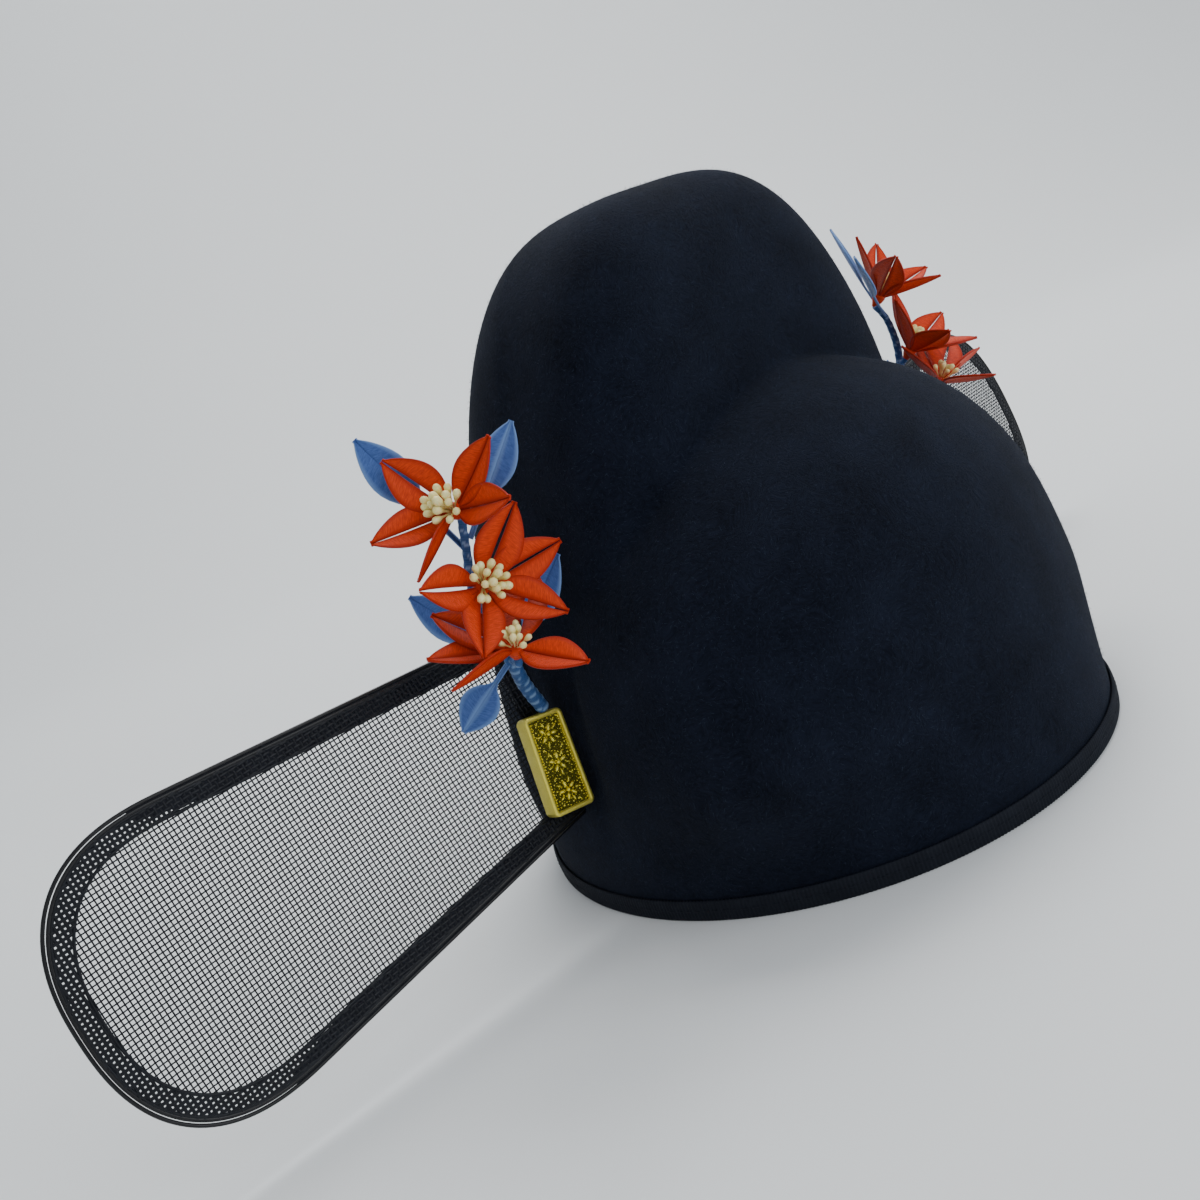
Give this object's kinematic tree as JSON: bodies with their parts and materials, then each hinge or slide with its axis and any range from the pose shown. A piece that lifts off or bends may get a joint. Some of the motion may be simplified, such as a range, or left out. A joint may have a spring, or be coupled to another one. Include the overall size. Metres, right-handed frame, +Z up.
{
  "type": "chinese official hat",
  "caption": "Black felt official's hat with a low front dome, a taller rear dome, net wings at the sides, gold bars and silk flower sprigs.",
  "frame": {"origin": "centre of the hat's oval edge, on the plane it rests on", "axes": "+Z up, -Y towards the wearer's front, +X towards the wearer's left"},
  "size_m": [0.468, 0.1972, 0.1962],
  "materials": {
    "felt": "black wool felt with a fine nap",
    "ribbon": "black ribbed grosgrain ribbon",
    "net": "black square net",
    "wing_tape": "black net turned over and taped, slightly glossy",
    "frame_wire": "gloss black coated wire",
    "gold": "polished yellow gilt casting",
    "blue_silk": "wrapped blue silk thread",
    "red_silk": "wrapped orange-red silk thread",
    "cream": "pearly cream stamens"
  },
  "bodies": {
    "root": {"crown": "felt", "edge_binding": "ribbon", "right_wing_net": "net", "right_wing_band": "wing_tape", "right_wing_wire": "frame_wire", "right_gold_bar": "gold", "right_sprig_stem": "blue_silk", "right_flower_top": "red_silk", "right_flower_middle": "red_silk", "right_flower_low": "red_silk", "right_stamens_top": "cream", "right_stamens_middle": "cream", "right_stamens_low": "cream", "right_leaf_1": "blue_silk", "right_leaf_2": "blue_silk", "right_leaf_3": "blue_silk", "right_leaf_4": "blue_silk", "right_leaf_5": "blue_silk", "left_wing_net": "net", "left_wing_band": "wing_tape", "left_wing_wire": "frame_wire", "left_gold_bar": "gold", "left_sprig_stem": "blue_silk", "left_flower_top": "red_silk", "left_flower_middle": "red_silk", "left_flower_low": "red_silk", "left_stamens_top": "cream", "left_stamens_middle": "cream", "left_stamens_low": "cream", "left_leaf_1": "blue_silk", "left_leaf_2": "blue_silk", "left_leaf_3": "blue_silk", "left_leaf_4": "blue_silk", "left_leaf_5": "blue_silk"}
  },
  "joints": []
}
